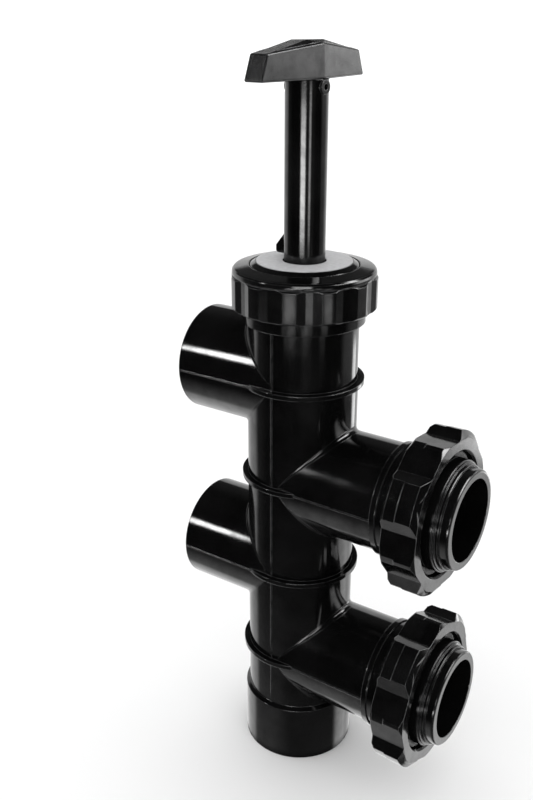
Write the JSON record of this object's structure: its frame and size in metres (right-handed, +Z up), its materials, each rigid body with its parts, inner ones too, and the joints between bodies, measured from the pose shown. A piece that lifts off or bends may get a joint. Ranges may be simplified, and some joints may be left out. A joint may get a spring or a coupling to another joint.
{
  "type": "three way valve",
  "caption": "Black moulded push-pull slide valve with plain and union side ports, an open bottom port, a screwed top collar and a pinned handle on a sliding shaft.",
  "frame": {"origin": "centre of the bottom port's face", "axes": "+Z up the valve's axis towards the handle, +X along the two union ports, -X along the two plain ports"},
  "size_m": [0.224, 0.1162, 0.5516],
  "materials": {
    "body_plastic": "glossy moulded black",
    "collar_plastic": "glossy moulded black",
    "handle_plastic": "satin black with a fine grain",
    "inner_plastic": "satin black",
    "seal_rubber": "smooth black rubber",
    "label_face": "satin light grey",
    "stainless": "bright stainless"
  },
  "bodies": {
    "body": {"valve_body": "body_plastic", "lid": "body_plastic", "lid_label": "label_face", "lid_o_ring": "seal_rubber", "shaft_seals": "seal_rubber", "gland_bushing": "inner_plastic", "gland_retainer": "stainless", "upper_union_o_ring": "seal_rubber", "lower_union_o_ring": "seal_rubber"},
    "collar": {"locking_collar": "collar_plastic"},
    "pistons": {"upper_piston": "inner_plastic", "lower_piston": "inner_plastic", "upper_piston_seals": "seal_rubber", "lower_piston_seals": "seal_rubber"},
    "rod": {"shaft": "body_plastic", "handle": "handle_plastic", "handle_top_insert": "handle_plastic", "handle_pin": "stainless", "catch_pin": "stainless", "shaft_plug": "inner_plastic", "piston_clips": "stainless"},
    "catch": {"hold_catch": "body_plastic"},
    "upper_tail": {"upper_union_tail": "body_plastic"},
    "upper_nut": {"upper_union_nut": "collar_plastic"},
    "lower_tail": {"lower_union_tail": "body_plastic"},
    "lower_nut": {"lower_union_nut": "collar_plastic"}
  },
  "joints": [
    {"name": "shaft_slide", "type": "slide", "parent": "body", "child": "pistons", "axis": [0, 0, 1], "range_m": [-0.0762, 0], "deforming": ["hold_catch"]},
    {"name": "shaft_turn", "type": "hinge", "parent": "pistons", "child": "rod", "pos_m": [0, 0, 0.35], "axis": [0, 0, 1], "continuous": true},
    {"name": "catch_press", "type": "hinge", "parent": "rod", "child": "catch", "pos_m": [-0.01237, 0.00086, 0.4262], "axis": [-0.0698, -0.9976, 0], "range_deg": [0, 37], "stiffness_Nm_per_rad": 0.05, "springref_deg": -17.19},
    {"name": "collar_turn", "type": "hinge", "parent": "body", "child": "collar", "pos_m": [0, 0, 0.388], "axis": [0, 0, 1], "range_deg": [0, 90]},
    {"name": "upper_tail_slide", "type": "slide", "parent": "body", "child": "upper_tail", "axis": [1, 0, 0], "range_m": [0, 0.0121]},
    {"name": "upper_nut_turn", "type": "hinge", "parent": "upper_tail", "child": "upper_nut", "pos_m": [0.111, 0, 0.2424], "axis": [1, 0, 0], "range_deg": [0, 1080]},
    {"name": "lower_tail_slide", "type": "slide", "parent": "body", "child": "lower_tail", "axis": [1, 0, 0], "range_m": [0, 0.0121]},
    {"name": "lower_nut_turn", "type": "hinge", "parent": "lower_tail", "child": "lower_nut", "pos_m": [0.111, 0, 0.09], "axis": [1, 0, 0], "range_deg": [0, 1080]}
  ],
  "couplings": [
    {"joint": "upper_tail_slide", "follows": "upper_nut_turn", "m_per_rad": 0.00063662},
    {"joint": "lower_tail_slide", "follows": "lower_nut_turn", "m_per_rad": 0.00063662}
  ]
}
